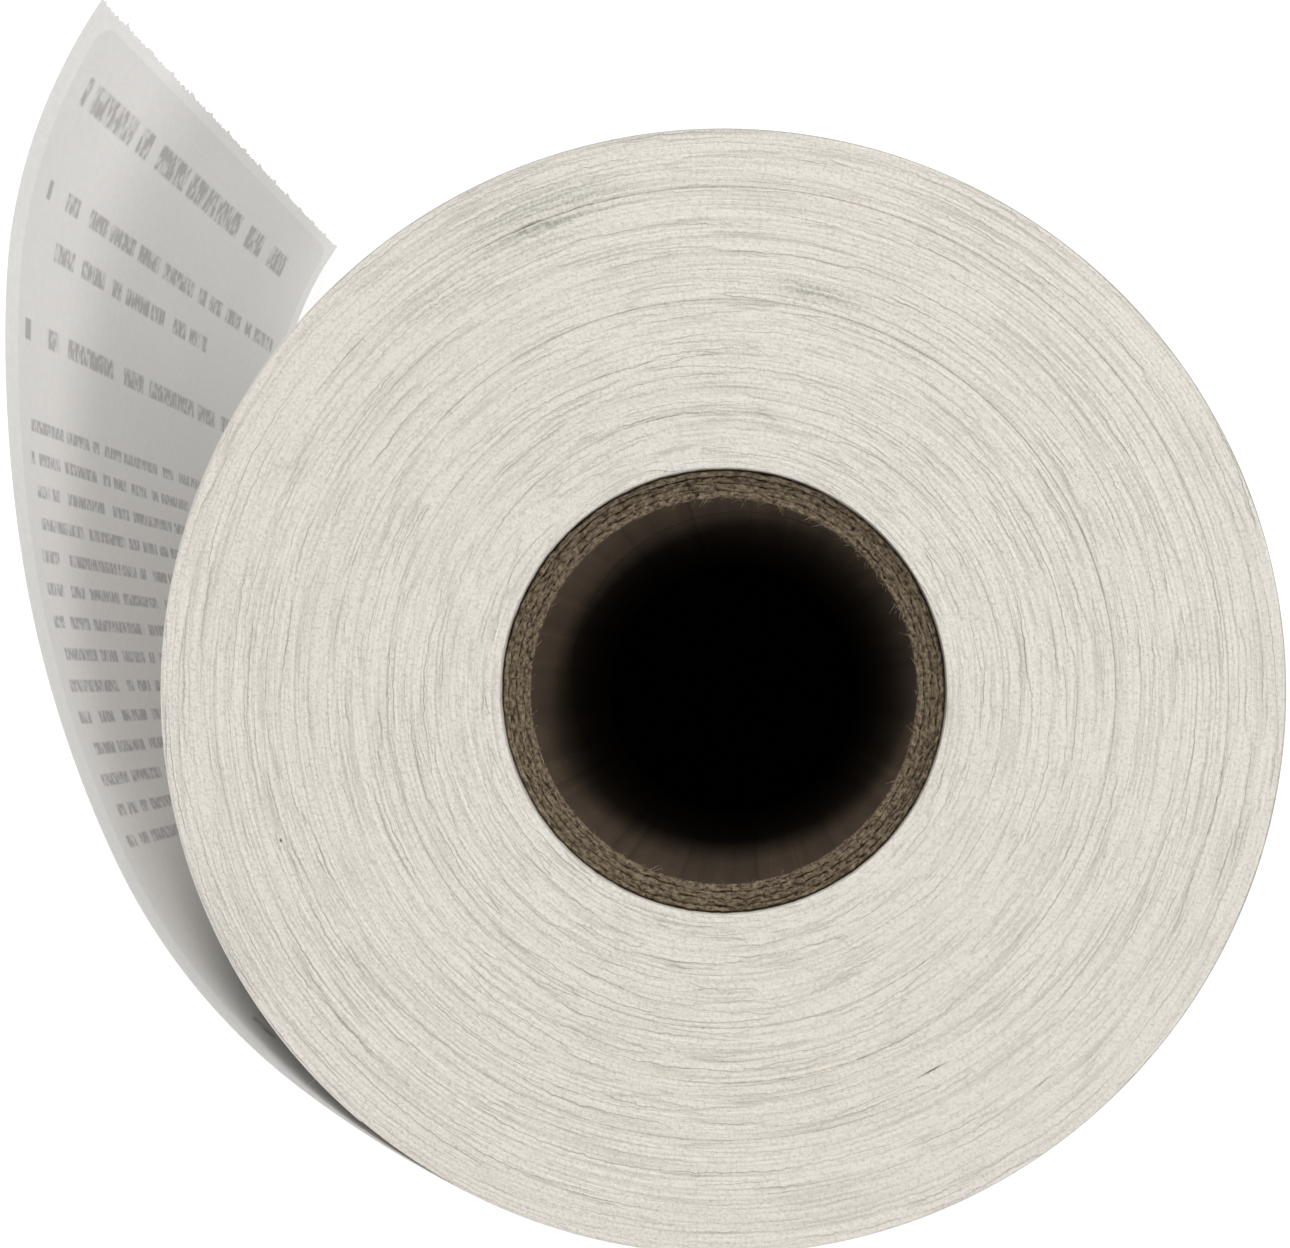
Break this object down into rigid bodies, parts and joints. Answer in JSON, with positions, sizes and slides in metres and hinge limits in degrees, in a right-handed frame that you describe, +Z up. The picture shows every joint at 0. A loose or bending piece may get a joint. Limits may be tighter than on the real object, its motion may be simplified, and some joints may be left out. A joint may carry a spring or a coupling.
{
  "type": "shipping label roll",
  "caption": "Roll of die-cut labels on release liner wound on a paperboard core, with a free tail that flexes and a lead label that peels.",
  "frame": {"origin": "on the core's axis at the roll's lower end, where it stands", "axes": "+Z up along the core's axis; the free tail leaves the roll on the -X side and ends towards +Y"},
  "size_m": [0.1672, 0.1642, 0.108],
  "materials": {
    "core_board": "rough-cut grey-brown paperboard",
    "paper_tape": "matte kraft tape",
    "wound_web": "slit paper edges, fibrous matte",
    "release_liner": "smooth calendered paper, semi-matte, greeked grey print",
    "label_face": "coated thermal paper, satin"
  },
  "bodies": {
    "roll": {"core_inner_ply": "core_board", "core_second_ply": "core_board", "core_third_ply": "core_board", "core_outer_ply": "core_board", "core_start_tape": "paper_tape", "wound_turns_1": "wound_web", "wound_turns_2": "wound_web", "wound_turns_3": "wound_web", "wound_turns_4": "wound_web", "wound_turns_5": "wound_web", "wound_turns_6": "wound_web"},
    "outer_turn": {"outer_turn_liner": "release_liner", "outer_turn_label_1": "label_face", "outer_turn_label_2": "label_face", "outer_turn_label_3": "label_face", "tail_liner_1": "release_liner", "tail_label_root": "label_face"},
    "tail_stretch_2": {"tail_liner_2": "release_liner", "lead_label_1": "label_face"},
    "tail_stretch_3": {"tail_liner_3": "release_liner", "lead_label_2": "label_face"},
    "tail_stretch_4": {"tail_liner_4": "release_liner", "lead_label_3": "label_face"},
    "tail_stretch_5": {"tail_liner_5": "release_liner", "lead_label_4": "label_face"},
    "label_flap": {"lead_label_flap": "label_face"}
  },
  "joints": [
    {"name": "roll_turn", "type": "hinge", "parent": "roll", "child": "outer_turn", "pos_m": [0, 0, 0.054], "axis": [0, 0, 1], "continuous": true},
    {"name": "tail_flex_1", "type": "hinge", "parent": "outer_turn", "child": "tail_stretch_2", "pos_m": [-0.05486, -0.05207, 0.054], "axis": [0, 0, 1], "range_deg": [-7, 14], "stiffness_Nm_per_rad": 0.004},
    {"name": "tail_flex_2", "type": "hinge", "parent": "tail_stretch_2", "child": "tail_stretch_3", "pos_m": [-0.07933, -0.022, 0.054], "axis": [0, 0, 1], "range_deg": [-9.6, 18.7]},
    {"name": "tail_flex_3", "type": "hinge", "parent": "tail_stretch_3", "child": "tail_stretch_4", "pos_m": [-0.09108, 0.01519, 0.054], "axis": [0, 0, 1], "range_deg": [-13.45, 26.4]},
    {"name": "tail_flex_4", "type": "hinge", "parent": "tail_stretch_4", "child": "tail_stretch_5", "pos_m": [-0.09337, 0.05416, 0.054], "axis": [0, 0, 1], "range_deg": [-12.4, 24.3]},
    {"name": "label_peel", "type": "hinge", "parent": "tail_stretch_5", "child": "label_flap", "pos_m": [-0.09244, 0.06294, 0.054], "axis": [0, 0, 1], "range_deg": [0, 70]}
  ],
  "couplings": [
    {"joint": "tail_flex_2", "follows": "tail_flex_1", "ratio": 1.3},
    {"joint": "tail_flex_3", "follows": "tail_flex_1", "ratio": 1.85},
    {"joint": "tail_flex_4", "follows": "tail_flex_1", "ratio": 1.7}
  ]
}
